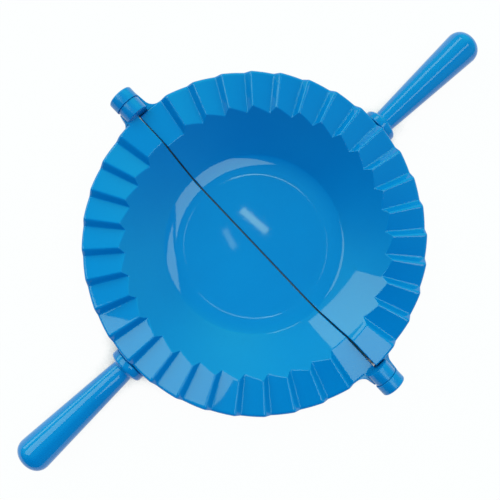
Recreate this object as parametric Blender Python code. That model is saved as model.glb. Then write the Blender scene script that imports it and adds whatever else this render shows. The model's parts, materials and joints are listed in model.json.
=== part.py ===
"""Pierogi press: two hinged half dishes with fluted crimping rims, each on its own tapered handle.

Lengths are metres. X runs along the hinge line, +Y out along the far handle and Z up. The origin is
on the table, under the middle of the hinge line. The press lies open, its rim facing up.

Both jaws are drawn in one jaw frame: its origin is the middle of the hinge axis, the dish lies at
y > 0 and the rim faces up. The near jaw is that frame turned half round about Z.
"""
import math

import bmesh
import bpy
from mathutils import Matrix, Vector

# Dish
RIM_RADIUS = 0.0750           # outer edge of the crimping rim
RIM_WIDTH = 0.0164            # from there in to the dish wall, at the rim's mean height
WALL_SPREAD = 0.0176          # plan width of the sloping wall, down to the crease round the floor
FLOOR_EDGE_SPREAD = 0.0075    # plan width of the floor's upturned edge, inside the crease
FLOOR_EDGE_RISE = 0.0013
DISH_DEPTH = 0.0180
WALL = 0.0020
PARTING_GAP = 0.0007          # between the two cut edges along the hinge line
RIM_EDGE_FILLET = 0.0013
SKIRT_DEPTH = 0.0120          # below the hinge axis
SKIRT_FLARE = 0.0016
SKIRT_WALL = 0.0018

# Flutes that crimp the dough
FLUTE_COUNT = 36
FLUTE_RISE = 0.0014           # from a panel's middle to its high edge
STEP_WIDTH = 0.0028           # plan width of the steep step, on the rim's outer edge
DOUGH_GAP = 0.0008            # between the two rims when the press is shut

# Hinge, the same at both ends
BARREL_RADIUS = 0.0053
BARREL_LENGTH = 0.0060
EAR_STEP = 0.00055            # how far the ear stands out beyond the barrel
EAR_LENGTH = 0.0051
EAR_ROUND = 0.0009
HINGE_SLOT = 0.0009           # between the far rim's squared end and the barrel
HINGE_GAP = 0.0003            # running gap round the barrel, and at its outer end
ARM_SIDE = 0.0006             # an arm's least thickness, beside the barrel
ARM_BASE = 0.0058             # an arm's thickness under the barrel
ARM_RIM_GAP = 0.0003          # from the lowest rim panel down to an arm's top
ARM_HINGE_LINE_GAP = 0.0008   # from the plane through the hinge line to an arm or gusset
ARM_FILLET = 0.0048            # against the rim
ARM_TOE = 0.0017              # how far an arm's root reaches in behind the skirt
GUSSET_SETBACK = 0.0004       # from the barrel's outer end to the gusset's
GUSSET_SIDE = 0.0003          # how far the gusset's end stands out beside the barrel
BRIDGE_SETBACK = 0.0002       # from the near rim's end panel and cut edge to the bridge
BRIDGE_TOE = 0.0010           # how far the bridge reaches into the rim and the barrel

# Hinge pins
PIN_RADIUS = 0.0020
PIN_CHAMFER = 0.0004
PIN_CLEARANCE = 0.0003
BARREL_END_WALL = 0.0013
EAR_END_WALL = 0.0012

# Handles
HANDLE_LENGTH = 0.06245       # from the collar's back to the tip
NECK_RADIUS = 0.00515
NECK_SWEEP = 0.0013           # length of the sweep from collar to neck
GRIP_RADIUS = 0.0080          # where the tip starts to round
TIP_LENGTH = 0.0064
COLLAR_RADIUS = 0.0083
COLLAR_TOP_DROP = 0.0015      # from the hinge axis down to the top of the collar
COLLAR_INSET = 0.0004         # from the rim's outer edge out to the collar's back
COLLAR_LENGTH = 0.0040
COLLAR_ROUND = 0.0006         # at the rim
COLLAR_SHOULDER = 0.00135     # rounding on the neck's side
SPIGOT_RADIUS = 0.0040
SPIGOT_LENGTH = 0.0120
SPIGOT_CHAMFER = 0.0006

# Handle sockets
BOSS_RADIUS = 0.0073
SOCKET_CLEARANCE = 0.0003
SEAT_GAP = 0.0003             # round the collar, and behind it, where it sits in the skirt

CUT_OVERRUN = 0.0010
MERGE_DISTANCE = 0.000001

# Counts, angles and exponents
WALL_TURN = math.radians(10)  # how much steeper the wall is at the rim than at the crease
ARM_TAPER = math.radians(6)    # how the sides of arms and gussets spread towards the rim
GUSSET_TAPER = math.radians(9)
TIP_FULLNESS = 2.3            # 2 would be an ellipse, and more is squarer
ARC_STEPS = 4
EDGE_STEPS = 2
TIP_STEPS = 8
ROUND_SIDES = 40
HANDLE_SIDES = 36
SMOOTH_ANGLE = math.radians(32)

# Worked out from the sizes above
AXIS_HEIGHT = DISH_DEPTH + WALL
MOUTH_RADIUS = RIM_RADIUS - RIM_WIDTH
CREASE_RADIUS = MOUTH_RADIUS - WALL_SPREAD
RIM_END = RIM_RADIUS - HINGE_SLOT / 2
BARREL_START = RIM_END + HINGE_SLOT
BARREL_END = BARREL_START + BARREL_LENGTH
EAR_RADIUS = BARREL_RADIUS + EAR_STEP
EAR_START = BARREL_END + HINGE_GAP
EAR_END = EAR_START + EAR_LENGTH
ARM_REACH = BARREL_RADIUS + HINGE_GAP + ARM_SIDE
ARM_DEPTH = BARREL_RADIUS + HINGE_GAP + ARM_BASE
ARM_TOP_DROP = FLUTE_RISE + DOUGH_GAP / 2 + ARM_RIM_GAP
HANDLE_DROP = COLLAR_TOP_DROP + COLLAR_RADIUS
COLLAR_START = RIM_RADIUS + PARTING_GAP / 2 + COLLAR_INSET
SEAT_START = COLLAR_START - SEAT_GAP
BOSS_END = RIM_RADIUS + PARTING_GAP / 2 + SKIRT_FLARE       # before the seat is cut
COLLAR_END = COLLAR_START + COLLAR_LENGTH

HINGE_ENDS = ((-1, "left"), (1, "right"))      # side of the jaw frame, and its name there
PRESS_BLUE = (0.0, 0.223, 0.578, 1.0)


def clear_scene():
    for old in list(bpy.data.objects):
        bpy.data.objects.remove(old, do_unlink=True)


def make_material(name, colour, roughness, metallic):
    material = bpy.data.materials.new(name)
    material.use_nodes = True
    shader = material.node_tree.nodes["Principled BSDF"]
    shader.inputs["Base Color"].default_value = colour
    shader.inputs["Roughness"].default_value = roughness
    shader.inputs["Metallic"].default_value = metallic
    material.diffuse_color = colour
    return material


def solid_from(name, bm):
    """Object from a closed bmesh, faces out, round stretches shaded smooth."""
    bmesh.ops.remove_doubles(bm, verts=bm.verts, dist=MERGE_DISTANCE)
    bmesh.ops.recalc_face_normals(bm, faces=bm.faces)
    mesh = bpy.data.meshes.new(name)
    bm.to_mesh(mesh)
    bm.free()
    mesh.shade_smooth()
    mesh.set_sharp_from_angle(angle=SMOOTH_ANGLE)
    solid = bpy.data.objects.new(name, mesh)
    bpy.context.scene.collection.objects.link(solid)
    return solid


def loft(name, sections):
    """Closed solid through closed sections with the same number of points."""
    bm = bmesh.new()
    rings = [[bm.verts.new(point) for point in section] for section in sections]
    for ring, following in zip(rings, rings[1:]):
        for here, ahead in zip(range(len(ring)), range(1, len(ring) + 1)):
            ahead %= len(ring)
            bm.faces.new((ring[here], ring[ahead], following[ahead], following[here]))
    bm.faces.new(rings[0])
    bm.faces.new(reversed(rings[-1]))
    return solid_from(name, bm)


def turned(name, profile, direction, sides):
    """Solid turned about an axis through the origin; profile points are (along, radius)."""
    bm = bmesh.new()
    points = [bm.verts.new((radius, 0, along)) for along, radius in profile]
    edges = [bm.edges.new(pair) for pair in zip(points, points[1:])]
    bmesh.ops.spin(bm, geom=points + edges, cent=(0, 0, 0), axis=(0, 0, 1),
                   angle=math.tau, steps=sides, use_merge=True)
    turn = Vector((0, 0, 1)).rotation_difference(Vector(direction)).to_matrix().to_4x4()
    bmesh.ops.transform(bm, matrix=turn, verts=bm.verts)
    return solid_from(name, bm)


def prism(name, outline, bottom, top):
    """Plan outline extruded upwards from bottom to top."""
    bm = bmesh.new()
    base = bm.faces.new([bm.verts.new((x, y, bottom)) for x, y in outline])
    raised = bmesh.ops.extrude_face_region(bm, geom=[base])
    lifted = [item for item in raised["geom"] if isinstance(item, bmesh.types.BMVert)]
    bmesh.ops.translate(bm, verts=lifted, vec=(0, 0, top - bottom))
    return solid_from(name, bm)


def arc(centre_x, centre_y, radius, start, end, steps):
    """Points along an arc, both ends included."""
    angles = [start + (end - start) * step / steps for step in range(steps + 1)]
    return [(centre_x + radius * math.cos(angle), centre_y + radius * math.sin(angle))
            for angle in angles]


def combine(solid, tool, operation):
    """Boolean the tool into the solid; the tool stays as a wire guide that never renders."""
    modifier = solid.modifiers.new(tool.name, "BOOLEAN")
    modifier.operation = operation
    modifier.solver = "EXACT"
    modifier.object = tool
    tool.parent = solid
    tool.display_type = "WIRE"
    tool.hide_render = True


def rim_sections():
    """(angle, height) of each radial line of the fluted rim, from one hinge end to the other.

    Each panel climbs from its low edge to its high edge, and a short steep step drops to the next
    panel's low edge. The first panel is level at the top and the last one level at the bottom. The
    pattern is odd about the far end of the dish, so the folded jaw meshes with it.
    """
    pitch = math.tau / FLUTE_COUNT
    half_step = STEP_WIDTH / RIM_RADIUS / 2
    lines = [(0, FLUTE_RISE), (pitch / 2, FLUTE_RISE), (pitch - half_step, FLUTE_RISE)]
    for panel in range(1, FLUTE_COUNT // 2 - 1):
        start = panel * pitch
        lines.append((start + half_step, -FLUTE_RISE))
        lines.append((start + pitch / 2, 0))
        lines.append((start + pitch - half_step, FLUTE_RISE))
    lines.append((math.pi - pitch + half_step, -FLUTE_RISE))
    lines += [(math.pi - pitch / 2, -FLUTE_RISE), (math.pi, -FLUTE_RISE)]
    return [(angle, height - DOUGH_GAP / 2) for angle, height in lines]


class Bow:
    """Arc of the dish's outline that climbs outwards, in (radius, z)."""

    def __init__(self, start, end, turn):
        run, rise = end[0] - start[0], end[1] - start[1]
        self.first_slope = math.atan2(rise, run) - turn / 2
        self.last_slope = self.first_slope + turn
        self.radius = math.hypot(run, rise) / (2 * math.sin(turn / 2))
        self.centre = (start[0] - self.radius * math.sin(self.first_slope),
                       start[1] + self.radius * math.cos(self.first_slope))

    def point(self, slope, offset):
        """Point where the arc has this slope, moved out through the wall by offset."""
        reach = self.radius + offset
        return (self.centre[0] + reach * math.sin(slope), self.centre[1] - reach * math.cos(slope))

    def slope_at(self, z, offset):
        return math.acos((self.centre[1] - z) / (self.radius + offset))

    def points(self, last_slope, offset):
        span = last_slope - self.first_slope
        return [self.point(self.first_slope + span * step / ARC_STEPS, offset)
                for step in range(ARC_STEPS + 1)]


FLOOR_EDGE = Bow((CREASE_RADIUS - FLOOR_EDGE_SPREAD, -DISH_DEPTH),
                 (CREASE_RADIUS, FLOOR_EDGE_RISE - DISH_DEPTH),
                 2 * math.atan2(FLOOR_EDGE_RISE, FLOOR_EDGE_SPREAD))
DISH_WALL = Bow((CREASE_RADIUS, FLOOR_EDGE_RISE - DISH_DEPTH), (MOUTH_RADIUS, 0), WALL_TURN)


def shell_profile(rim_height):
    """Closed (radius, z) outline of the shell's wall where the rim stands at rim_height."""
    under_height = rim_height - WALL
    edge_centre = RIM_RADIUS - RIM_EDGE_FILLET
    skirt_foot = RIM_RADIUS + SKIRT_FLARE
    points = [(0, -DISH_DEPTH)]
    points += FLOOR_EDGE.points(FLOOR_EDGE.last_slope, 0)[:-1]
    points += DISH_WALL.points(DISH_WALL.slope_at(rim_height, 0), 0)
    points += arc(edge_centre, rim_height - RIM_EDGE_FILLET, RIM_EDGE_FILLET, math.pi / 2, 0,
                  EDGE_STEPS)
    points += [(skirt_foot, -SKIRT_DEPTH), (skirt_foot - SKIRT_WALL, -SKIRT_DEPTH)]
    points.append((RIM_RADIUS - SKIRT_WALL, under_height))
    points += reversed(DISH_WALL.points(DISH_WALL.slope_at(under_height, WALL), WALL))
    points += reversed(FLOOR_EDGE.points(FLOOR_EDGE.last_slope, WALL))
    points.append((0, -DISH_DEPTH - WALL))
    return points


def make_shell(name):
    """Half dish with its fluted rim and skirt, moulded in one wall."""
    offset = PARTING_GAP / 2
    sections = []
    for angle, height in rim_sections():
        across, out = math.cos(angle), math.sin(angle)
        sections.append([(radius * across, radius * out + offset, z)
                         for radius, z in shell_profile(height)])
    return loft(name, sections)


def hinge_web_outline(side, end, reach, taper):
    """Plan of an arm or gusset: from under the rim out to end, filleted into the rim's edge."""
    inwards = Vector((-math.cos(taper), math.sin(taper)))
    offset_start = Vector((end, reach)) + Vector((math.sin(taper), math.cos(taper))) * ARM_FILLET
    along = offset_start.dot(inwards)
    left_over = offset_start.length_squared - (RIM_RADIUS + ARM_FILLET) ** 2
    centre = offset_start + inwards * (-along - math.sqrt(along ** 2 - left_over))
    to_rim = math.pi + math.atan2(centre.y, centre.x)
    root = RIM_RADIUS - SKIRT_WALL - ARM_TOE
    fillet = arc(centre.x, centre.y, ARM_FILLET, math.tau * 3 / 4 - taper, to_rim, ARC_STEPS)
    outline = [(root, ARM_HINGE_LINE_GAP), (end, ARM_HINGE_LINE_GAP), (end, reach)]
    outline += fillet + [(root, fillet[-1][1])]
    return [(side * x, y) for x, y in outline]


def hinge_web(name, side, end, reach, taper):
    outline = hinge_web_outline(side, end, reach, taper)
    return prism(name, outline, -ARM_DEPTH, -ARM_TOP_DROP)


def rim_bridge(name, side):
    """Block that carries the near rim's end panel out to the barrel."""
    inner, outer = RIM_RADIUS - RIM_EDGE_FILLET - BRIDGE_TOE, BARREL_START + BRIDGE_TOE
    start, end = PARTING_GAP / 2 + BRIDGE_SETBACK, BARREL_RADIUS - BRIDGE_TOE
    outline = [(inner, start), (outer, start), (outer, end), (inner, end)]
    top = side * FLUTE_RISE - DOUGH_GAP / 2 - BRIDGE_SETBACK
    return prism(name, [(side * x, y) for x, y in outline], BRIDGE_TOE - BARREL_RADIUS, top)


def hinge_round(name, side, start, end, radius):
    """Plain cylinder on the hinge axis from start to end, out along one side."""
    profile = [(start, 0), (start, radius), (end, radius), (end, 0)]
    return turned(name, profile, (side, 0, 0), ROUND_SIDES)


def hinge_ear(name, side):
    """Round ear that caps the hinge, its outer edge rounded."""
    rounding = arc(EAR_END - EAR_ROUND, EAR_RADIUS - EAR_ROUND, EAR_ROUND, math.pi / 2, 0, EDGE_STEPS)
    profile = [(EAR_START, 0), (EAR_START, EAR_RADIUS)] + rounding + [(EAR_END, 0)]
    return turned(name, profile, (side, 0, 0), ROUND_SIDES)


def add_boss(jaw):
    """Solid boss between skirt and dish wall, where the handle goes in."""
    middle = WALL / 2
    start = DISH_WALL.point(DISH_WALL.slope_at(BOSS_RADIUS - HANDLE_DROP, middle), middle)[0]
    profile = [(start, 0), (start, BOSS_RADIUS), (BOSS_END, BOSS_RADIUS), (BOSS_END, 0)]
    boss = turned(jaw.name + "_boss_guide", profile, (0, 1, 0), ROUND_SIDES)
    boss.data.transform(Matrix.Translation((0, 0, -HANDLE_DROP)))
    combine(jaw, boss, "UNION")


def cut_bores(jaw, pin_bore_start, pin_bore_end):
    """Seat and blind bore for the handle, and blind bores for the hinge pins, by one cutter."""
    bore, seat = SPIGOT_RADIUS + SOCKET_CLEARANCE, COLLAR_RADIUS + SEAT_GAP
    start = COLLAR_START - SPIGOT_LENGTH - SOCKET_CLEARANCE
    end = BOSS_END + CUT_OVERRUN
    profile = [(start, 0), (start, bore), (SEAT_START, bore), (SEAT_START, seat), (end, seat),
               (end, 0)]
    cutter = turned(jaw.name + "_bores_guide", profile, (0, 1, 0), ROUND_SIDES)
    cutter.data.transform(Matrix.Translation((0, 0, -HANDLE_DROP)))
    bm = bmesh.new()
    bm.from_mesh(cutter.data)
    for side, end_name in HINGE_ENDS:
        bore = hinge_round(jaw.name + "_bore_" + end_name, side, pin_bore_start, pin_bore_end,
                           PIN_RADIUS + PIN_CLEARANCE)
        bm.from_mesh(bore.data)
        bpy.data.objects.remove(bore)
    bm.to_mesh(cutter.data)
    bm.free()
    combine(jaw, cutter, "DIFFERENCE")


def make_far_jaw():
    """Jaw with the arms and ears that hold the hinge pins."""
    jaw = make_shell("far_jaw")
    for side, end_name in HINGE_ENDS:
        arm = hinge_web("far_arm_guide_" + end_name, side, EAR_END - EAR_ROUND, ARM_REACH, ARM_TAPER)
        combine(jaw, arm, "UNION")
        swing = hinge_round("barrel_swing_guide_" + end_name, side, RIM_END, EAR_START,
                            BARREL_RADIUS + HINGE_GAP)
        combine(jaw, swing, "DIFFERENCE")
        combine(jaw, hinge_ear("ear_guide_" + end_name, side), "UNION")
    add_boss(jaw)
    cut_bores(jaw, EAR_START - CUT_OVERRUN, EAR_END - EAR_END_WALL)
    return jaw


def make_near_jaw():
    """Jaw with the barrel knuckles that turn on the hinge pins."""
    jaw = make_shell("near_jaw")
    for side, end_name in HINGE_ENDS:
        gusset = hinge_web("near_gusset_guide_" + end_name, side, BARREL_END - GUSSET_SETBACK,
                           BARREL_RADIUS + GUSSET_SIDE, GUSSET_TAPER)
        combine(jaw, gusset, "UNION")
        combine(jaw, rim_bridge("rim_bridge_guide_" + end_name, side), "UNION")
        barrel = hinge_round("barrel_guide_" + end_name, side, BARREL_START, BARREL_END,
                             BARREL_RADIUS)
        combine(jaw, barrel, "UNION")
    add_boss(jaw)
    cut_bores(jaw, BARREL_START + BARREL_END_WALL, BARREL_END + CUT_OVERRUN)
    return jaw


def handle_profile():
    """(along, radius) from the spigot's end to the tip, measured from the hinge line."""
    spigot_end = COLLAR_START - SPIGOT_LENGTH
    shoulder = COLLAR_RADIUS - COLLAR_SHOULDER
    points = [(spigot_end, 0), (spigot_end, SPIGOT_RADIUS - SPIGOT_CHAMFER)]
    points += [(spigot_end + SPIGOT_CHAMFER, SPIGOT_RADIUS), (COLLAR_START, SPIGOT_RADIUS)]
    points += arc(COLLAR_START + COLLAR_ROUND, COLLAR_RADIUS - COLLAR_ROUND, COLLAR_ROUND, math.pi,
                  math.pi / 2, EDGE_STEPS)
    points += arc(COLLAR_END - COLLAR_SHOULDER, shoulder, COLLAR_SHOULDER, math.pi / 2, 0, ARC_STEPS)
    for step in range(1, ARC_STEPS + 1):
        turn = math.pi / 2 * step / ARC_STEPS
        along = COLLAR_END + NECK_SWEEP * (1 - math.cos(turn))
        points.append((along, shoulder - (shoulder - NECK_RADIUS) * math.sin(turn)))
    tip_start = COLLAR_START + HANDLE_LENGTH - TIP_LENGTH
    for step in range(TIP_STEPS + 1):
        turn = math.pi / 2 * step / TIP_STEPS
        along = TIP_LENGTH * math.sin(turn) ** (2 / TIP_FULLNESS)
        radius = GRIP_RADIUS * max(math.cos(turn), 0) ** (2 / TIP_FULLNESS)
        points.append((tip_start + along, radius))
    return points


def make_handle(name):
    """Turned handle: spigot, collar, swept neck, straight taper and domed tip."""
    handle = turned(name, handle_profile(), (0, 1, 0), HANDLE_SIDES)
    handle.data.transform(Matrix.Translation((0, 0, -HANDLE_DROP)))
    return handle


def make_pin(name, side):
    """Dowel that joins an ear's blind bore to the barrel's blind bore."""
    start = BARREL_START + BARREL_END_WALL + PIN_CLEARANCE
    end = EAR_END - EAR_END_WALL - PIN_CLEARANCE
    small = PIN_RADIUS - PIN_CHAMFER
    profile = [(start, 0), (start, small), (start + PIN_CHAMFER, PIN_RADIUS)]
    profile += [(end - PIN_CHAMFER, PIN_RADIUS), (end, small), (end, 0)]
    return turned(name, profile, (side, 0, 0), ROUND_SIDES)


def hinge_empty(name, turned_round):
    """Empty on the hinge axis that carries one half of the press."""
    empty = bpy.data.objects.new(name, None)
    empty.location = (0, 0, AXIS_HEIGHT)
    empty.rotation_euler = (0, 0, math.pi if turned_round else 0)
    bpy.context.scene.collection.objects.link(empty)
    return empty


def build():
    clear_scene()
    far_half = hinge_empty("far_half", turned_round=False)
    near_half = hinge_empty("near_half", turned_round=True)

    carried = {
        far_half: [make_far_jaw(), make_handle("far_handle")],
        near_half: [make_near_jaw(), make_handle("near_handle")],
    }
    for side, end_name in HINGE_ENDS:
        carried[far_half].append(make_pin("hinge_pin_" + end_name, side))
    for half, pieces in carried.items():
        for piece in pieces:
            piece.parent = half
            plastic = make_material(piece.name + "_plastic", PRESS_BLUE, roughness=0.25, metallic=0.0)
            piece.data.materials.append(plastic)


build()
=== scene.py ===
"""Looks of the pierogi press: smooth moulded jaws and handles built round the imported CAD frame.

Lengths are metres in the CAD frame: X along the hinge line, +Y out along the far handle, Z up.
Jaws and handles are drawn in one jaw frame. Its origin is the middle of the hinge axis, the dish
lies at y > 0 and the rim faces up. The near half is that frame turned half round about Z.

Outlines are lists of (radius, z, heading) points. The heading is the direction of travel, in
radians, and the plastic lies on the right of it.
"""
import json
import math

import bmesh
import bpy
from mathutils import Matrix, Quaternion, Vector


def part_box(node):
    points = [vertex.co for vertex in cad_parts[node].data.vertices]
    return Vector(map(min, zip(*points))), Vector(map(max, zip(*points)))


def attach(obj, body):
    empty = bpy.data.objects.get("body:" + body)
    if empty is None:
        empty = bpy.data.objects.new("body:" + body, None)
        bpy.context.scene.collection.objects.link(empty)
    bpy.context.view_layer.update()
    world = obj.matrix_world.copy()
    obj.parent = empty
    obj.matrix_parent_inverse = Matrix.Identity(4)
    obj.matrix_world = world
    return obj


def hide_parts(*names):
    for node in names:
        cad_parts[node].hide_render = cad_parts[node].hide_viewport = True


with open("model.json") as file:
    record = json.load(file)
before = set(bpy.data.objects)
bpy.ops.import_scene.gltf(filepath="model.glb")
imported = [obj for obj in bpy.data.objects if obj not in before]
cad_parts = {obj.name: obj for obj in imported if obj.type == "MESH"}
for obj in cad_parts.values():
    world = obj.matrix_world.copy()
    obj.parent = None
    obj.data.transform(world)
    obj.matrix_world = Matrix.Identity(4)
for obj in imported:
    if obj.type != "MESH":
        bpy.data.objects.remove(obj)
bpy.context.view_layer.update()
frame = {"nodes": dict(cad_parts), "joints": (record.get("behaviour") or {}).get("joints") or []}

QUARTER = math.pi / 2

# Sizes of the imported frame
PARTING_GAP = 0.0007          # between the two cut edges along the hinge line
AXIS_HEIGHT = frame["joints"][0]["pos_m"][2]
FAR_JAW_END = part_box("far_jaw")[1]
NEAR_JAW_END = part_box("near_jaw")[1]
HANDLE_START, HANDLE_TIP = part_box("far_handle")
RIM_RADIUS = 0.0750
EAR_END = FAR_JAW_END.x
BARREL_END = NEAR_JAW_END.x
COLLAR_RADIUS = HANDLE_TIP.x
HANDLE_DROP = AXIS_HEIGHT - (HANDLE_START.z + HANDLE_TIP.z) / 2

# Dish
WALL = 0.0020
DISH_DEPTH = AXIS_HEIGHT - WALL
SKIRT_FLARE = 0.0016
SKIRT_FOOT_RADIUS = RIM_RADIUS + SKIRT_FLARE
RIM_WIDTH = 0.0164
WALL_SPREAD = 0.0176          # plan width of the sloping wall
WALL_TURN = math.radians(10)  # how much steeper the wall is at the rim than at the crease
FLOOR_EDGE_SPREAD = 0.0100    # plan width of the floor's upturned edge, inside the crease
FLOOR_EDGE_RISE = 0.0017
FLOOR_MARGIN = 0.0010         # flat ring of faces just inside the upturned edge
SKIRT_DEPTH = 0.0120
SKIRT_WALL = 0.0018
MOUTH_RADIUS = RIM_RADIUS - RIM_WIDTH
CREASE_RADIUS = MOUTH_RADIUS - WALL_SPREAD

# Roundings of the moulded edges
CREASE_ROUND = 0.0030
LIP_ROUND = 0.0008            # where the dish wall meets a rim panel
RIM_EDGE_ROUND = 0.0013
FOOT_ROUND = 0.0005
UNDER_ROUND = 0.0006
PARTING_ROUND = 0.0003        # along the two cut edges

# Flutes
FLUTE_COUNT = 36
FLUTE_RISE = 0.0014           # from a panel's middle to its high edge
STEP_WIDTH = 0.0028
CREST_ROUND = 0.0007          # half the plan width of the rounding, on the rim's outer edge
VALLEY_ROUND = 0.0004
DOUGH_GAP = 0.0008            # between the two rims when the press is shut
PITCH = math.tau / FLUTE_COUNT
HALF_STEP = STEP_WIDTH / RIM_RADIUS / 2

# Hinge
BARREL_RADIUS = 0.0053
BARREL_LENGTH = 0.0060
HINGE_SLOT = 0.0009
HINGE_GAP = 0.00008           # finer than the frame's working clearance, which would look open
EAR_RADIUS = 0.00585
EAR_ROUND = 0.0009
ARM_SIDE = 0.0006
ARM_BASE = 0.0058
ARM_TOP_DROP = 0.0021
ARM_HINGE_LINE_GAP = 0.0008
ARM_FILLET = 0.0048
ARM_TAPER = math.radians(6)   # how the sides of arms and gussets spread towards the rim
GUSSET_TAPER = math.radians(9)
GUSSET_SIDE = 0.0003
ARM_TOE = 0.0017
ARM_ROUND = 0.00035
GUSSET_SETBACK = 0.0004
BARREL_ROUND = 0.0002
BARREL_START = BARREL_END - BARREL_LENGTH
RIM_END = BARREL_START - HINGE_SLOT
EAR_START = BARREL_END + HINGE_GAP
SWING_RADIUS = BARREL_RADIUS + HINGE_GAP
ARM_REACH = SWING_RADIUS + ARM_SIDE
ARM_DEPTH = SWING_RADIUS + ARM_BASE

# Handles
SPIGOT_RADIUS = 0.0040
SPIGOT_LENGTH = 0.0120
SPIGOT_CHAMFER = 0.0006
COLLAR_LENGTH = 0.0040
COLLAR_ROUND = 0.0006
COLLAR_SHOULDER = 0.00135
NECK_RADIUS = 0.00515
NECK_SWEEP = 0.0013
GRIP_RADIUS = 0.0080
TIP_LENGTH = 0.0064
TIP_FULLNESS = 2.3
BOSS_RADIUS = 0.0073
SEAT_GAP = 0.0003             # round the collar, and behind it, where it sits in the skirt
SEAT_OVERRUN = SEAT_GAP * 4   # how far the cutter of the seat runs out past the skirt
COLLAR_START = HANDLE_START.y + SPIGOT_LENGTH

# Counts
ARC_STEPS = 6
SMALL_ARC_STEPS = 4
WALL_STEPS = 12               # up the dish wall to the lowest lip
LIP_STEPS = 3                 # from the lowest lip to a panel's own
UNDER_STEPS = 6               # down the wall's under side
NECK_STEPS = 12
TIP_STEPS = 20
FILLET_STEPS = 12
SEAT_STEPS = 8
WEB_END_STEPS = 3
HANDLE_SIDES = 96
HINGE_SIDES = 72

# Shares of a stretch at which the faces meet
PANEL_TOP_SHARES = (0.05, 0.35, 0.65, 0.95)
SKIRT_SHARES = (0.1, 0.5, 0.9)
GRIP_SHARES = (0.05, 0.25, 0.5, 0.75, 0.95)
CUT_EDGE_SHARES = (0, 0.08, 0.3, 0.6, 1, 1.25)             # of the rounding along a cut edge
PANEL_SHARES = (0, 0.05, 0.3, 0.5, 0.7, 0.95, 1)           # from one fold to the next
FOLD_SHARES = (-0.66, -0.33, 0, 0.33, 0.66)                # of a fold's rounding
SIDE_CUT_TURNS = (-0.0015, -0.0005, 0.0005, 0.0015)        # radians, round the rim's square cuts
FIRST_RADIAL_SHARE = 1.05     # first radial line, as a share of the last even line's angle
EDGE_ROUND_SHARE = 0.9        # outer part of the edge rounding, which goes out to the barrel
FILLET_CROWDING = 1.5         # how the sections of a fillet crowd towards the rim
ROUND_LIMIT_SHARE = 0.9       # of a web's top, for the rounding beside the barrel
TOP_START_SHARE = 0.9         # first point of a web's flat top, from its rounding inwards

# Shading and merging
SHARP_ANGLE = math.radians(50)
WEB_SHARP_ANGLE = math.radians(40)
MERGE_DISTANCE = 1e-7

# Camera, fitted to the photograph's folds, hinge ends and handle tips with its distance taken as
# 290 mm. The photograph fixes that distance only loosely.
CAMERA_PLACE = Vector((-0.00553, -0.02974, AXIS_HEIGHT + 0.28997))
CAMERA_AIM = Vector((0.00015, -0.00487, AXIS_HEIGHT))
CAMERA_UP = Vector((-0.72591, 0.68634, 0.04464))
FOCAL_SHARE = 671.64 / 500    # focal length as a share of the image's width
SENSOR_WIDTH = 36             # millimetres
CLIP_START = 0.01

# Plastic
PLASTIC_IOR = 1.52
SHEEN_TINT = (0.72, 1.0, 0.55, 1)
FLOW_COLOURS = ((0.0, 0.166, 0.490, 1), (0.0, 0.182, 0.515, 1))
FLOW_RANGE = (0.3, 0.7)
FLOW_SCALE, FLOW_DETAIL = 28, 4
POLISH_SCALE, POLISH_DETAIL = 160, 3
POLISH_ROUGHNESS = (0.02, 0.05)
HINGE_SATIN = 0.24            # roughness of the mould texture on barrels and caps
RIPPLE_SCALE, RIPPLE_DETAIL = 320, 2
RIPPLE_STRENGTH = 0.5
JAW_RIPPLE = 0.000003         # depth of the faint unevenness of the moulded surface
GRIP_RIPPLE = 0.0000002

# Floor
FLOOR_HALF_SIZE = 3
PAPER_COLOUR = (0.8, 0.8, 0.8)
PAPER_ROUGHNESS = 0.9
PAPER_PAINTED_SHADE = 0.25          # painted shade: lightness left to the paper's colour where the press lies over it
FLOOR_COVER = 0.050           # how near a piece has to be to fade the floor's white and paint shade on the paper
COVER_RANGE = (0.36, 0.48)    # open sky at which the white starts, and at which it is full
FULL_WHITE = 0.97

# Light. Azimuths run anticlockwise from +X and tilts are off the vertical, both in degrees
LAMP_DISTANCE = 1.5
SOFTBOXES = (                 # name, azimuth, tilt, width, height, radiance and spin
    ("left_box", 208, 38.5, 0.77, 0.76, 2.3),
    ("right_box", 7, 20.5, 0.60, 0.58, 2.6),
    ("low_box", 186, 74.0, 1.05, 0.34, 2.3),
    ("window", 96, 7.2, 0.09, 0.018, 5.0),
    ("small_window", 106, 4.2, 0.059, 0.016, 2.0, 150),
    ("strip_a", 150, 56, 0.45, 0.34, 2.4, 18),
    ("strip_b", 64, 27, 0.45, 0.26, 2.4, -61),
)
# Soft light from all round, tinted blue-green as the sheen in the photograph is
FILLS = (                     # azimuth, tilt, sharpness and colour
    (0, 85, 6, (0.08, 0.45, 0.70)),
    (60, 85, 6, (0.17, 1.10, 0.95)),
    (120, 85, 6, (0.18, 1.22, 0.90)),
    (180, 85, 6, (0.22, 1.40, 1.15)),
    (240, 85, 6, (0.03, 0.18, 0.28)),
    (300, 85, 6, (0.05, 0.33, 0.50)),
    (30, 50, 8, (0.14, 0.75, 0.95)),
    (120, 50, 8, (0.22, 1.90, 1.25)),
    (210, 50, 8, (0.18, 1.20, 1.00)),
    (0, 0, 12, (0.12, 1.05, 1.60)),
    (0, 180, 2, (0.09, 0.22, 0.29)),
)


def step_headings(start, end, steps):
    """Even steps from start to end, both included."""
    return [start + (end - start) * step / steps for step in range(steps + 1)]


def along(heading):
    """Unit vector in the direction of a heading."""
    return Vector((math.cos(heading), math.sin(heading)))


def outward(heading):
    """Unit normal on the left of a heading, which is the open side of the plastic."""
    return Vector((-math.sin(heading), math.cos(heading)))


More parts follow.
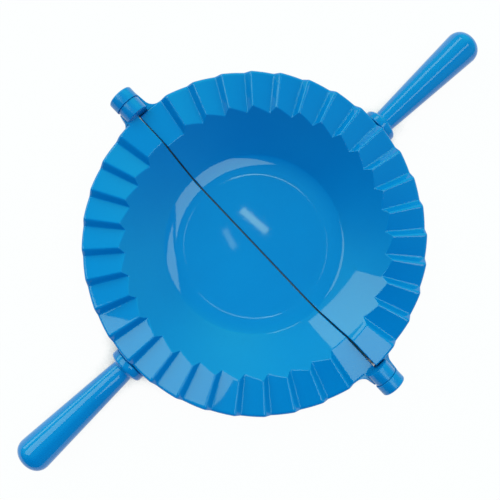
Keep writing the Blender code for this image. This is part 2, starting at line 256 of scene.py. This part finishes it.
def rounded(corner, arriving, leaving, radius, steps=ARC_STEPS):
    """Outline points of a corner rounded off between two headings."""
    side = 1 if leaving > arriving else -1
    setback = radius * math.tan(abs(leaving - arriving) / 2)
    centre = Vector(corner) - along(arriving) * setback + outward(arriving) * radius * side
    points = []
    for heading in step_headings(arriving, leaving, steps):
        point = centre - outward(heading) * radius * side
        points.append((point.x, point.y, heading))
    return points


class Bow:
    """Arc of the dish's outline that climbs outwards."""

    def __init__(self, start, end, turn):
        run, rise = end[0] - start[0], end[1] - start[1]
        self.first = math.atan2(rise, run) - turn / 2
        self.last = self.first + turn
        self.radius = math.hypot(run, rise) / (2 * math.sin(turn / 2))
        self.centre = Vector(start) + outward(self.first) * self.radius

    def point(self, heading, offset=0.0):
        """Outline point where the arc has this heading, moved out through the wall by offset."""
        point = self.centre - outward(heading) * (self.radius + offset)
        return (point.x, point.y, heading)

    def heading_at(self, z, offset=0.0):
        """Heading of the arc at a height."""
        return math.acos((self.centre.y - z) / (self.radius + offset))

    def points(self, start, end, steps, offset=0.0):
        """Outline points from one heading to another, both included."""
        return [self.point(heading, offset) for heading in step_headings(start, end, steps)]


FLOOR_EDGE = Bow((CREASE_RADIUS - FLOOR_EDGE_SPREAD, -DISH_DEPTH),
                 (CREASE_RADIUS, FLOOR_EDGE_RISE - DISH_DEPTH),
                 2 * math.atan2(FLOOR_EDGE_RISE, FLOOR_EDGE_SPREAD))
DISH_WALL = Bow((CREASE_RADIUS, FLOOR_EDGE_RISE - DISH_DEPTH), (MOUTH_RADIUS, 0), WALL_TURN)
LOWEST_LIP = DISH_WALL.heading_at(-FLUTE_RISE - DOUGH_GAP - LIP_ROUND)


def rim_folds():
    """(angle, height, rounding) of every fold, from one hinge end to the other."""
    folds = [(0, FLUTE_RISE, 0)]
    for step in range(1, FLUTE_COUNT // 2):
        folds.append((step * PITCH - HALF_STEP, FLUTE_RISE, CREST_ROUND))
        folds.append((step * PITCH + HALF_STEP, -FLUTE_RISE, VALLEY_ROUND))
    folds.append((math.pi, -FLUTE_RISE, 0))
    return folds


FOLDS = rim_folds()


def rim_height(angle):
    """Height of the rim over the hinge axis, at an angle of the jaw frame, its folds rounded."""
    slopes = [(ahead[1] - here[1]) / (ahead[0] - here[0]) for here, ahead in zip(FOLDS, FOLDS[1:])]
    place = sum(angle > fold[0] for fold in FOLDS[1:-1])
    height = FOLDS[place][1] + slopes[place] * (angle - FOLDS[place][0])
    for fold, before, after in zip(FOLDS[1:-1], slopes, slopes[1:]):
        reach = fold[2] / RIM_RADIUS
        inside = reach - abs(angle - fold[0])
        if inside > 0:
            height += (after - before) * inside ** 2 / (4 * reach)
    return height - DOUGH_GAP / 2


def shell_outline(height):
    """Top side and under side of the shell, in the plane through the Z axis, for one rim height."""
    skirt_heading = -QUARTER + math.atan2(SKIRT_FLARE, SKIRT_DEPTH)
    lip = DISH_WALL.heading_at(height)
    lip_points = rounded(DISH_WALL.point(lip)[:2], lip, 0, LIP_ROUND)
    wall_end = DISH_WALL.heading_at(lip_points[0][1])
    crease = rounded((CREASE_RADIUS, FLOOR_EDGE_RISE - DISH_DEPTH), FLOOR_EDGE.last,
                     DISH_WALL.first, CREASE_ROUND, SMALL_ARC_STEPS)
    edge = rounded((RIM_RADIUS, height), 0, skirt_heading, RIM_EDGE_ROUND)
    foot = rounded((SKIRT_FOOT_RADIUS, -SKIRT_DEPTH), skirt_heading, -math.pi, FOOT_ROUND)

    top = [(CREASE_RADIUS - FLOOR_EDGE_SPREAD - FLOOR_MARGIN, -DISH_DEPTH, 0)]
    crease_start = math.asin((crease[0][0] - FLOOR_EDGE.centre.x) / FLOOR_EDGE.radius)
    top += FLOOR_EDGE.points(0, crease_start, ARC_STEPS)[:-1]
    top += crease
    crease_end = math.asin((crease[-1][0] - DISH_WALL.centre.x) / DISH_WALL.radius)
    top += DISH_WALL.points(crease_end, LOWEST_LIP, WALL_STEPS)[1:]
    top += DISH_WALL.points(LOWEST_LIP, wall_end, LIP_STEPS)[1:-1]
    top += lip_points
    lip_end, edge_start = lip_points[-1][0], edge[0][0]
    for share in PANEL_TOP_SHARES:
        top.append((lip_end + (edge_start - lip_end) * share, height, 0))
    top += edge
    for share in SKIRT_SHARES:
        top.append((edge[-1][0] + (foot[0][0] - edge[-1][0]) * share,
                    edge[-1][1] + (foot[0][1] - edge[-1][1]) * share, skirt_heading))
    top += foot

    under_height = height - WALL
    inner_heading = skirt_heading - math.pi
    under = rounded((SKIRT_FOOT_RADIUS - SKIRT_WALL, -SKIRT_DEPTH), -math.pi, inner_heading,
                    FOOT_ROUND)
    under += rounded((RIM_RADIUS - SKIRT_WALL, under_height), inner_heading, -math.pi, UNDER_ROUND)
    under_lip = DISH_WALL.heading_at(under_height, WALL)
    under += rounded(DISH_WALL.point(under_lip, WALL)[:2], -math.pi, under_lip - math.pi,
                     UNDER_ROUND)
    under_end = DISH_WALL.heading_at(under[-1][1], WALL)
    under += DISH_WALL.points(under_end, DISH_WALL.first, UNDER_STEPS, WALL)[1:]
    under += FLOOR_EDGE.points(FLOOR_EDGE.last, 0, ARC_STEPS, WALL)
    under.append((CREASE_RADIUS - FLOOR_EDGE_SPREAD - FLOOR_MARGIN, -DISH_DEPTH - WALL, -math.pi))
    return top, under


def rim_columns():
    """Lines across the shell from one hinge end to the other, each (distance, angle).

    Lines near the cut edge keep one distance from it, so that the edge is rounded evenly. The rest
    are radial, and their distance is None.
    """
    start = [(share * PARTING_ROUND, 0) for share in CUT_EDGE_SHARES]
    floor_radius = CREASE_RADIUS - FLOOR_EDGE_SPREAD - FLOOR_MARGIN
    nearest = FIRST_RADIAL_SHARE * math.asin(start[-1][0] / floor_radius)
    angles = []
    for fold, ahead in zip(FOLDS, FOLDS[1:]):
        begin = max(fold[0], nearest) + fold[2] / RIM_RADIUS
        end = min(ahead[0], math.pi - nearest) - ahead[2] / RIM_RADIUS
        angles += [begin + (end - begin) * share for share in PANEL_SHARES]
    for angle, _, width in FOLDS[1:-1]:
        angles += [angle + share * width / RIM_RADIUS for share in FOLD_SHARES]
    for reach in (BARREL_RADIUS, SWING_RADIUS):
        side_cut = math.asin(reach / RIM_RADIUS)
        for turn in SIDE_CUT_TURNS:
            angles += [side_cut + turn, math.pi - side_cut + turn]
    angles.sort()
    return start + [(None, angle) for angle in angles] + [(d, math.pi) for d, _ in reversed(start)]


def shell_column(distance, angle, reshape):
    """3-D points down the shell's top side and back along its under side, on one column."""
    def place(radius, z):
        """Angle and 3-D point of this column at a radius and height."""
        if distance is None:
            turn = angle
        else:
            turn = abs(angle - math.asin(distance / radius))
        return turn, Vector((radius * math.cos(turn), radius * math.sin(turn), z))

    middle_turn = place(RIM_RADIUS - RIM_WIDTH / 2, 0)[0]
    top, under = shell_outline(rim_height(middle_turn))
    ring = []
    for index, (radius, z, heading) in enumerate(top + under):
        turn = place(radius, z)[0]
        if distance is not None:
            sides = shell_outline(rim_height(turn))
            radius, z, heading = (sides[0] + sides[1])[index]
        turn, point = place(radius, z)
        if distance is not None and distance < PARTING_ROUND and index < len(top):
            short = PARTING_ROUND - distance
            sink = PARTING_ROUND - math.sqrt(PARTING_ROUND ** 2 - short ** 2)
            normal = outward(heading)
            point -= Vector((normal.x * math.cos(turn), normal.x * math.sin(turn), normal.y)) * sink
        ring.append(reshape(point))
    return ring


def square_far_end(point):
    """Cuts the far rim square beside the barrel."""
    if point.y < SWING_RADIUS and abs(point.z) < SWING_RADIUS and abs(point.x) > RIM_END:
        point.x = math.copysign(RIM_END, point.x)
    return point


def square_near_end(point):
    """Carries the near rim out to the barrel."""
    outside = math.hypot(point.x, point.y) > RIM_RADIUS - RIM_EDGE_ROUND * EDGE_ROUND_SHARE
    if point.y < BARREL_RADIUS and abs(point.z) < BARREL_RADIUS and outside:
        point.x = math.copysign(max(abs(point.x), BARREL_START + PARTING_GAP), point.x)
    return point


def piece_from(name, bm, sharp=SHARP_ANGLE):
    """Object from a bmesh in the jaw frame, shaded smooth except across sharp edges."""
    bmesh.ops.recalc_face_normals(bm, faces=bm.faces)
    mesh = bpy.data.meshes.new(name)
    bm.to_mesh(mesh)
    bm.free()
    mesh.shade_smooth()
    mesh.set_sharp_from_angle(angle=sharp)
    piece = bpy.data.objects.new(name, mesh)
    bpy.context.scene.collection.objects.link(piece)
    return piece


def make_shell(name, reshape):
    """Half dish with its fluted rim and skirt, cut along the hinge line."""
    bm = bmesh.new()
    columns = rim_columns()
    rings = []
    for distance, angle in columns:
        ring = shell_column(distance, angle, reshape)
        rings.append([bm.verts.new(point + Vector((0, PARTING_GAP / 2, 0))) for point in ring])
    for ring, ahead in zip(rings, rings[1:]):
        for index in range(len(ring) - 1):
            bm.faces.new((ring[index], ring[index + 1], ahead[index + 1], ahead[index]))
    strips = sum(distance is not None for distance, _ in columns) // 2
    for column in range(strips - 1):
        right, left = rings[column], rings[-1 - column]
        right_ahead, left_ahead = rings[column + 1], rings[-2 - column]
        bm.faces.new((right[0], right_ahead[0], left_ahead[0], left[0]))
    bm.faces.new([ring[0] for ring in rings[strips - 1:len(rings) - strips + 1]])
    bm.faces.new([ring[-1] for ring in rings])
    bm.faces.new(rings[0] + rings[-1][::-1])
    return piece_from(name, bm)


def turned(name, outline, centre, direction, sides):
    """Piece turned about an axis through centre; outline points are (along, radius)."""
    bm = bmesh.new()
    points = [bm.verts.new((radius, 0, reach)) for reach, radius in outline]
    edges = [bm.edges.new(pair) for pair in zip(points, points[1:])]
    bmesh.ops.spin(bm, geom=points + edges, cent=(0, 0, 0), axis=(0, 0, 1), angle=math.tau,
                   steps=sides, use_merge=True)
    bmesh.ops.remove_doubles(bm, verts=bm.verts, dist=MERGE_DISTANCE)
    turn = Vector((0, 0, 1)).rotation_difference(Vector(direction)).to_matrix().to_4x4()
    bmesh.ops.transform(bm, matrix=Matrix.Translation(centre) @ turn, verts=bm.verts)
    return piece_from(name, bm)


def rounded_outline(corners):
    """Open (along, radius) outline through corners of (along, radius, rounding)."""
    outline = [corners[0][:2]]
    for before, corner, after in zip(corners, corners[1:], corners[2:]):
        if corner[2] == 0:
            outline.append(corner[:2])
            continue
        arriving = math.atan2(corner[1] - before[1], corner[0] - before[0])
        leaving = math.atan2(after[1] - corner[1], after[0] - corner[0])
        if leaving - arriving > math.pi:
            leaving -= math.tau
        if arriving - leaving > math.pi:
            leaving += math.tau
        outline += [point[:2] for point in rounded(corner[:2], arriving, leaving, corner[2])]
    return outline + [corners[-1][:2]]


def loft(name, sections):
    """Closed piece through closed sections with the same number of points."""
    bm = bmesh.new()
    rings = [[bm.verts.new(point) for point in section] for section in sections]
    for ring, ahead in zip(rings, rings[1:]):
        for here in range(len(ring)):
            following = (here + 1) % len(ring)
            bm.faces.new((ring[here], ring[following], ahead[following], ahead[here]))
    bm.faces.new(rings[0])
    bm.faces.new(rings[-1][::-1])
    return piece_from(name, bm, WEB_SHARP_ANGLE)


class Web:
    """Plan of an arm or gusset, whose side spreads towards the rim and is filleted into it."""

    def __init__(self, end, end_reach, taper):
        self.end, self.end_reach, self.taper = end, end_reach, taper
        inwards = Vector((-math.cos(taper), math.sin(taper)))
        start = Vector((end, end_reach)) + Vector((math.sin(taper), math.cos(taper))) * ARM_FILLET
        reach = start.dot(inwards)
        left_over = start.length_squared - (RIM_RADIUS + ARM_FILLET) ** 2
        self.centre = start + inwards * (-reach - math.sqrt(reach ** 2 - left_over))
        self.fillet_start = self.centre.x - ARM_FILLET * math.sin(taper)
        self.fillet_end = self.centre.x * RIM_RADIUS / self.centre.length

    def side(self, x):
        """Half thickness at x, measured from the hinge line."""
        if x > self.fillet_start:
            return self.end_reach + (self.end - x) * math.tan(self.taper)
        back = self.centre.x - max(x, self.fillet_end)
        return self.centre.y - math.sqrt(ARM_FILLET ** 2 - back ** 2)

    def stations(self):
        """Places along X for the sections, from behind the skirt to the end."""
        fillet = self.fillet_start - self.fillet_end
        stations = [RIM_RADIUS - SKIRT_WALL - ARM_TOE, RIM_RADIUS - SKIRT_WALL]
        for share in step_headings(0, 1, FILLET_STEPS):
            stations.append(self.fillet_end + fillet * share ** FILLET_CROWDING)
        stations += [BARREL_END - ARM_ROUND, self.end - ARM_ROUND]
        rounding = [self.end - ARM_ROUND * (1 - math.sin(QUARTER * step / WEB_END_STEPS))
                    for step in range(1, WEB_END_STEPS + 1)]
        return sorted(x for x in stations if x <= self.end - ARM_ROUND) + rounding


def make_web(name, side, web, hollow_to):
    """Arm or gusset that runs out beside the barrel, with a seat for it up to hollow_to.

    Where the seat begins and ends, the loft slants, and cuts a little into the barrel out of sight.
    """
    sections = []
    for x in web.stations():
        inset = 0.0
        if x > web.end - ARM_ROUND:
            inset = ARM_ROUND - math.sqrt(max(ARM_ROUND ** 2 - (x - web.end + ARM_ROUND) ** 2, 0))
        reach, low, high = web.side(x) - inset, -ARM_DEPTH + inset, -ARM_TOP_DROP - inset
        seated = RIM_END < x < hollow_to
        sections.append([(side * x, y, z) for y, z in web_section(reach, low, high, seated)])
    return loft(name, sections)


def web_section(reach, low, high, seated):
    """Section of an arm or gusset across X; a seat follows the barrel's swing."""
    start_y = math.sqrt(SWING_RADIUS ** 2 - ARM_TOP_DROP ** 2)
    end_z = -math.sqrt(SWING_RADIUS ** 2 - ARM_HINGE_LINE_GAP ** 2)
    top_round = min(ARM_ROUND, (reach - start_y) * ROUND_LIMIT_SHARE) if seated else ARM_ROUND
    outer = rounded((ARM_HINGE_LINE_GAP, low), -QUARTER, 0, ARM_ROUND, SMALL_ARC_STEPS)
    outer += rounded((reach, low), 0, QUARTER, ARM_ROUND, SMALL_ARC_STEPS)
    outer += rounded((reach, high), QUARTER, math.pi, top_round, SMALL_ARC_STEPS)
    if seated:
        start, end = math.atan2(-ARM_TOP_DROP, start_y), math.atan2(end_z, ARM_HINGE_LINE_GAP)
        seat = [(SWING_RADIUS * math.cos(turn), SWING_RADIUS * math.sin(turn))
                for turn in step_headings(start, end, SEAT_STEPS)]
    else:
        top_start = outer[-1][0] * TOP_START_SHARE
        seat = [(y, high) for y in step_headings(top_start, ARM_HINGE_LINE_GAP, SEAT_STEPS)]
    return [point[:2] for point in outer] + seat


def make_ear(name, side):
    """Round ear that caps the hinge, its outer edge rounded."""
    corners = [(EAR_START, 0, 0), (EAR_START, EAR_RADIUS, BARREL_ROUND),
               (EAR_END, EAR_RADIUS, EAR_ROUND), (EAR_END, 0, 0)]
    return turned(name, rounded_outline(corners), (0, 0, 0), (side, 0, 0), HINGE_SIDES)


def make_barrel(name, side):
    """Barrel knuckle between the rim and the ear."""
    corners = [(BARREL_START, 0, 0), (BARREL_START, BARREL_RADIUS, BARREL_ROUND),
               (BARREL_END, BARREL_RADIUS, BARREL_ROUND), (BARREL_END, 0, 0)]
    return turned(name, rounded_outline(corners), (0, 0, 0), (side, 0, 0), HINGE_SIDES)


def make_boss(name):
    """Round boss under the rim that takes the handle's spigot."""
    start = DISH_WALL.point(DISH_WALL.heading_at(BOSS_RADIUS - HANDLE_DROP, WALL / 2), WALL / 2)[0]
    end = COLLAR_START - SEAT_GAP
    bore = SPIGOT_RADIUS + SEAT_GAP
    bottom = COLLAR_START - SPIGOT_LENGTH - SEAT_GAP
    corners = [(start, 0, 0), (start, BOSS_RADIUS, 0), (end, BOSS_RADIUS, 0), (end, bore, 0),
               (bottom, bore, 0), (bottom, 0, 0)]
    return turned(name, rounded_outline(corners), (0, 0, -HANDLE_DROP), (0, 1, 0), HINGE_SIDES)


def cut_seat(shell):
    """Cuts the round seat for the handle's collar into the skirt."""
    start, end = COLLAR_START - SEAT_GAP, SKIRT_FOOT_RADIUS + SEAT_OVERRUN
    radius = COLLAR_RADIUS + SEAT_GAP
    outline = [(start, 0), (start, radius), (end, radius), (end, 0)]
    cutter = turned("seat_cutter", outline, (0, 0, -HANDLE_DROP), (0, 1, 0), HANDLE_SIDES)
    modifier = shell.modifiers.new("seat", "BOOLEAN")
    modifier.operation = "DIFFERENCE"
    modifier.solver = "EXACT"
    modifier.object = cutter
    bpy.context.view_layer.objects.active = shell
    bpy.ops.object.modifier_apply(modifier="seat")
    bpy.data.objects.remove(cutter)
    return shell


def handle_outline():
    """(along, radius) from the spigot's end to the tip, measured from the hinge line."""
    spigot_end = COLLAR_START - SPIGOT_LENGTH
    collar_end = COLLAR_START + COLLAR_LENGTH
    foot = COLLAR_RADIUS - COLLAR_SHOULDER
    corners = [(spigot_end, 0, 0), (spigot_end, SPIGOT_RADIUS - SPIGOT_CHAMFER, 0),
               (spigot_end + SPIGOT_CHAMFER, SPIGOT_RADIUS, 0), (COLLAR_START, SPIGOT_RADIUS, 0),
               (COLLAR_START, COLLAR_RADIUS, COLLAR_ROUND),
               (collar_end, COLLAR_RADIUS, COLLAR_SHOULDER), (collar_end, foot, 0)]
    outline = rounded_outline(corners)[:-1]
    for turn in step_headings(0, QUARTER, NECK_STEPS)[1:]:
        reach = collar_end + NECK_SWEEP * (1 - math.cos(turn))
        outline.append((reach, foot - (foot - NECK_RADIUS) * math.sin(turn)))
    tip_start = HANDLE_TIP.y - TIP_LENGTH
    neck_end = collar_end + NECK_SWEEP
    for share in GRIP_SHARES:
        outline.append((neck_end + (tip_start - neck_end) * share,
                        NECK_RADIUS + (GRIP_RADIUS - NECK_RADIUS) * share))
    for turn in step_headings(0, QUARTER, TIP_STEPS):
        outline.append((tip_start + TIP_LENGTH * math.sin(turn) ** (2 / TIP_FULLNESS),
                        GRIP_RADIUS * max(math.cos(turn), 0) ** (2 / TIP_FULLNESS)))
    return outline


def make_handle(name):
    """Turned handle: spigot, collar, swept neck, straight taper and domed tip."""
    return turned(name, handle_outline(), (0, 0, -HANDLE_DROP), (0, 1, 0), HANDLE_SIDES)


def join(name, pieces):
    """Joins pieces into the first, under one name."""
    bpy.ops.object.select_all(action="DESELECT")
    for piece in pieces:
        piece.select_set(True)
    bpy.context.view_layer.objects.active = pieces[0]
    bpy.ops.object.join()
    pieces[0].name = pieces[0].data.name = name
    return pieces[0]


def make_far_jaw():
    """Far half dish with the arms and ears at both ends of the hinge."""
    pieces = [cut_seat(make_shell("far_dish", square_far_end))]
    for side, end_name in ((-1, "left"), (1, "right")):
        arm = Web(EAR_END - EAR_ROUND, ARM_REACH, ARM_TAPER)
        pieces.append(make_web("far_arm_" + end_name, side, arm, EAR_START))
        pieces.append(make_ear("far_ear_" + end_name, side))
    pieces.append(make_boss("far_boss"))
    return join("far_jaw_moulding", pieces)


def make_near_jaw():
    """Near half dish with the gussets and barrels at both ends of the hinge."""
    pieces = [cut_seat(make_shell("near_dish", square_near_end))]
    for side, end_name in ((-1, "left"), (1, "right")):
        gusset = Web(BARREL_END - GUSSET_SETBACK, BARREL_RADIUS + GUSSET_SIDE, GUSSET_TAPER)
        pieces.append(make_web("near_gusset_" + end_name, side, gusset, 0))
        pieces.append(make_barrel("near_barrel_" + end_name, side))
    pieces.append(make_boss("near_boss"))
    return join("near_jaw_moulding", pieces)


def add_node(tree, kind, inputs=None, **settings):
    """Shader node with its settings; an input is a value or another node's output."""
    node = tree.nodes.new("ShaderNode" + kind)
    for name, value in settings.items():
        setattr(node, name, value)
    for socket, value in (inputs or {}).items():
        if isinstance(value, bpy.types.NodeSocket):
            tree.links.new(value, node.inputs[socket])
        else:
            node.inputs[socket].default_value = value
    return node


def math_node(tree, operation, *values):
    """Output of a Math node on one or two values."""
    return add_node(tree, "Math", dict(enumerate(values)), operation=operation).outputs[0]


def new_material(name):
    """Material with nodes, its node tree and its Principled shader."""
    material = bpy.data.materials.new(name)
    material.use_nodes = True
    return material, material.node_tree, material.node_tree.nodes["Principled BSDF"]


def press_plastic(name, ripple_depth):
    """Glossy blue polypropylene: faint flow marks in the colour, fine ripple in the surface."""
    material, tree, shader = new_material(name)
    shader.inputs["IOR"].default_value = PLASTIC_IOR
    shader.inputs["Specular Tint"].default_value = SHEEN_TINT
    place = add_node(tree, "TexCoord").outputs["Object"]

    flow = add_node(tree, "TexNoise", {
        "Scale": FLOW_SCALE, "Detail": FLOW_DETAIL, "Vector": place})
    tint = add_node(tree, "ValToRGB", {"Fac": flow.outputs["Fac"]})
    for stop, position, colour in zip(tint.color_ramp.elements, FLOW_RANGE, FLOW_COLOURS):
        stop.position, stop.color = position, colour
    tree.links.new(tint.outputs["Color"], shader.inputs["Base Color"])

    polish = add_node(tree, "TexNoise", {
        "Scale": POLISH_SCALE, "Detail": POLISH_DETAIL, "Vector": place})
    gloss = add_node(tree, "MapRange", {
        "To Min": POLISH_ROUGHNESS[0], "To Max": POLISH_ROUGHNESS[1],
        "Value": polish.outputs["Fac"]})
    sideways = add_node(tree, "SeparateXYZ", {"Vector": place}).outputs["X"]
    satin = add_node(tree, "MapRange", {
        "From Min": RIM_END, "From Max": BARREL_START, "To Max": HINGE_SATIN,
        "Value": math_node(tree, "ABSOLUTE", sideways)})
    roughness = math_node(tree, "MAXIMUM", gloss.outputs["Result"], satin.outputs["Result"])
    tree.links.new(roughness, shader.inputs["Roughness"])

    ripple = add_node(tree, "TexNoise", {
        "Scale": RIPPLE_SCALE, "Detail": RIPPLE_DETAIL, "Vector": place})
    bump = add_node(tree, "Bump", {
        "Strength": RIPPLE_STRENGTH, "Distance": ripple_depth, "Height": ripple.outputs["Fac"]})
    tree.links.new(bump.outputs["Normal"], shader.inputs["Normal"])
    return material


def compass(azimuth, tilt):
    """Unit vector towards a world azimuth, tilted off the vertical; both in degrees."""
    azimuth, tilt = math.radians(azimuth), math.radians(tilt)
    return Vector((math.sin(tilt) * math.cos(azimuth), math.sin(tilt) * math.sin(azimuth),
                   math.cos(tilt)))


def softbox(name, azimuth, tilt, width, height, radiance, spin=0):
    """Area lamp that faces the press; width runs level and height towards the zenith."""
    lamp = bpy.data.lights.new(name, "AREA")
    lamp.shape = "RECTANGLE"
    lamp.size, lamp.size_y = width, height
    lamp.energy = radiance * math.pi * width * height
    holder = bpy.data.objects.new(name, lamp)
    bpy.context.scene.collection.objects.link(holder)
    direction = compass(azimuth, tilt)
    holder.location = direction * LAMP_DISTANCE
    turn = direction.to_track_quat("Z", "Y") @ Quaternion((0, 0, 1), math.radians(spin))
    holder.rotation_euler = turn.to_euler()
    holder.visible_camera = False
    return holder


def make_camera():
    """Camera that sees the press about as the photograph does."""
    camera = bpy.data.cameras.new("camera")
    camera.sensor_width = SENSOR_WIDTH
    camera.lens = FOCAL_SHARE * SENSOR_WIDTH
    camera.clip_start = CLIP_START
    holder = bpy.data.objects.new("camera", camera)
    bpy.context.scene.collection.objects.link(holder)
    back = (CAMERA_PLACE - CAMERA_AIM).normalized()
    right = CAMERA_UP.cross(back).normalized()
    up = back.cross(right)
    turn = Matrix((right, up, back)).transposed().to_4x4()
    holder.matrix_world = Matrix.Translation(CAMERA_PLACE) @ turn
    bpy.context.scene.camera = holder


def make_stage():
    """Floor that shows white to the camera; where ambient occlusion finds the press near, the white
    fades and the paper's colour is darkened, a painted shade.
    """
    bm = bmesh.new()
    bmesh.ops.create_grid(bm, x_segments=1, y_segments=1, size=FLOOR_HALF_SIZE)
    floor = piece_from("floor", bm)
    material, tree, shader = new_material("floor_paper")
    shader.inputs["Roughness"].default_value = PAPER_ROUGHNESS
    cover = add_node(tree, "AmbientOcclusion", {"Distance": FLOOR_COVER})
    open_sky = add_node(tree, "MapRange", {
        "From Min": COVER_RANGE[0], "From Max": COVER_RANGE[1], "To Max": FULL_WHITE,
        "Value": cover.outputs["AO"]}).outputs[0]
    # Painted shade: the paper's colour is darkened where ambient occlusion finds the press over it
    paper = add_node(tree, "VectorMath", {
        0: PAPER_COLOUR, "Scale": math_node(tree, "MAXIMUM", open_sky, PAPER_PAINTED_SHADE)},
        operation="SCALE")
    tree.links.new(paper.outputs[0], shader.inputs["Base Color"])
    rays = add_node(tree, "LightPath").outputs
    seen = math_node(tree, "MAXIMUM", rays["Is Camera Ray"], rays["Is Glossy Ray"])
    seen = math_node(tree, "MAXIMUM", seen, rays["Is Transmission Ray"])
    glow = add_node(tree, "Emission", {"Strength": 1})
    surface = add_node(tree, "MixShader", {
        0: math_node(tree, "MULTIPLY", seen, open_sky), 1: shader.outputs[0], 2: glow.outputs[0]})
    tree.links.new(surface.outputs[0], tree.nodes["Material Output"].inputs["Surface"])
    floor.data.materials.append(material)


def make_world():
    """Dark studio with soft fill from a few directions, which the camera itself sees as white."""
    world = bpy.data.worlds.new("studio")
    bpy.context.scene.world = world
    world.use_nodes = True
    tree = world.node_tree
    heading = add_node(tree, "TexCoord").outputs["Generated"]
    total = (0, 0, 0)
    for azimuth, tilt, sharpness, colour in FILLS:
        towards = add_node(tree, "VectorMath", {0: heading, 1: compass(azimuth, tilt)},
                           operation="DOT_PRODUCT")
        ahead = math_node(tree, "MAXIMUM", towards.outputs["Value"], 0)
        lobe = math_node(tree, "POWER", ahead, sharpness)
        light = add_node(tree, "VectorMath", {0: colour, "Scale": lobe}, operation="SCALE")
        total = add_node(tree, "VectorMath", {0: total, 1: light.outputs[0]}).outputs[0]
    tinted = tree.nodes["Background"]
    tree.links.new(total, tinted.inputs["Color"])
    white = add_node(tree, "Background", {"Color": (1, 1, 1, 1)})
    camera_ray = add_node(tree, "LightPath").outputs["Is Camera Ray"]
    surface = add_node(tree, "MixShader", {
        0: camera_ray, 1: tinted.outputs[0], 2: white.outputs[0]})
    tree.links.new(surface.outputs[0], tree.nodes["World Output"].inputs["Surface"])
    bpy.context.scene.view_settings.view_transform = "Standard"


def place_pieces():
    """Puts every moulded piece in its half of the press, in place of its CAD node."""
    lift = Matrix.Translation((0, 0, AXIS_HEIGHT))
    halves = {"far_half": lift, "near_half": lift @ Matrix.Rotation(math.pi, 4, "Z")}
    pieces = [(make_far_jaw(), "far_jaw", "far_half"), (make_near_jaw(), "near_jaw", "near_half"),
              (make_handle("far_grip"), "far_handle", "far_half"),
              (make_handle("near_grip"), "near_handle", "near_half")]
    for piece, node, body in pieces:
        piece.data.transform(halves[body])
        piece.data.materials.clear()
        ripple_depth = GRIP_RIPPLE if node.endswith("handle") else JAW_RIPPLE
        piece.data.materials.append(press_plastic(node + "_plastic", ripple_depth))
        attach(piece, body)
        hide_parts(node)
    for node in ("hinge_pin_left", "hinge_pin_right"):
        pin = frame["nodes"][node]
        pin.data.materials.clear()
        pin.data.materials.append(press_plastic(node + "_plastic", GRIP_RIPPLE))


place_pieces()
make_stage()
make_world()
for values in SOFTBOXES:
    softbox(*values)
make_camera()
